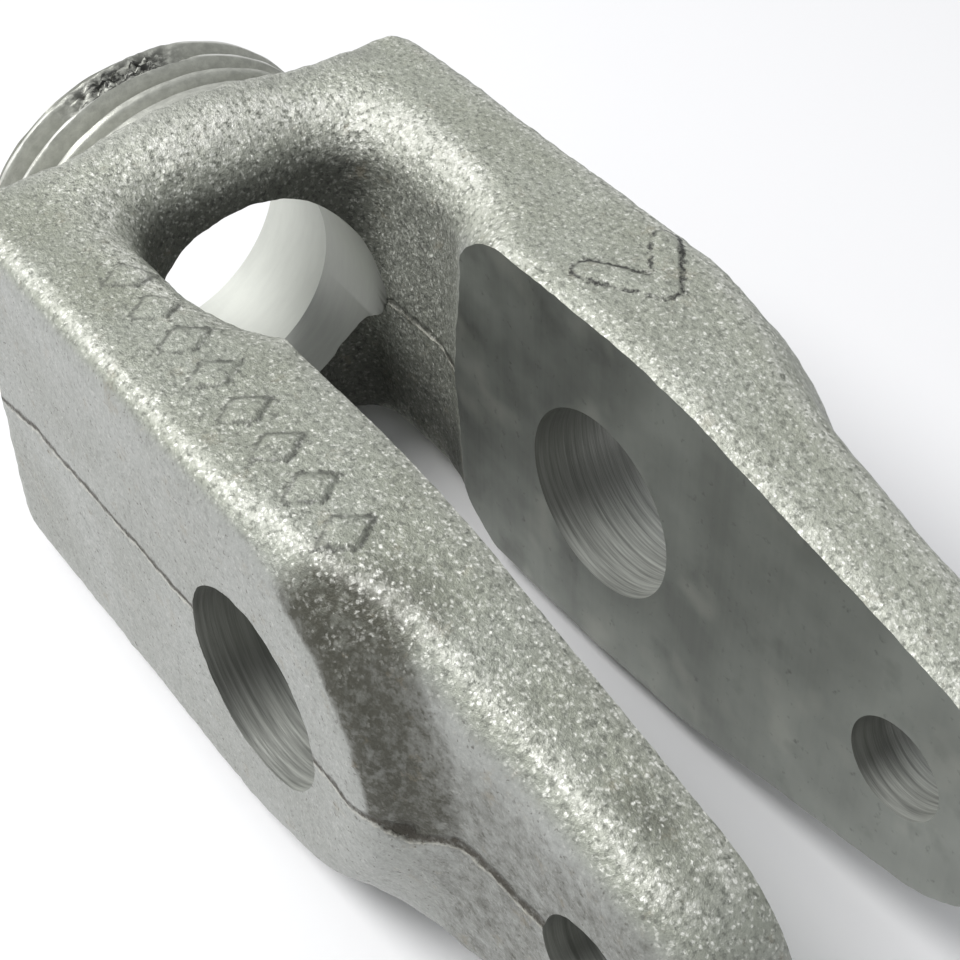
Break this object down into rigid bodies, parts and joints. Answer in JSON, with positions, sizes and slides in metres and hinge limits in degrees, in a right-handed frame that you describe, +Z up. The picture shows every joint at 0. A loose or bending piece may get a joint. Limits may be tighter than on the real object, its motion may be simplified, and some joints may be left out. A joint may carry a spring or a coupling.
{
  "type": "clevis rod end",
  "caption": "Cast clevis rod end: two parallel arms with a large and a small cross pin hole, an open throat, and a bored neck with an external thread.",
  "frame": {"origin": "centre of the large pin hole, midway between the arms", "axes": "+X along the rod from the threaded neck to the arm tips, +Y along the pin holes, +Z up, square to the casting's parting plane"},
  "size_m": [0.0765, 0.0348, 0.028],
  "materials": {
    "casting": "sand-cast skin, with milled arm faces and turned and reamed bores"
  },
  "bodies": {
    "root": {"clevis_body": "casting"}
  },
  "joints": []
}
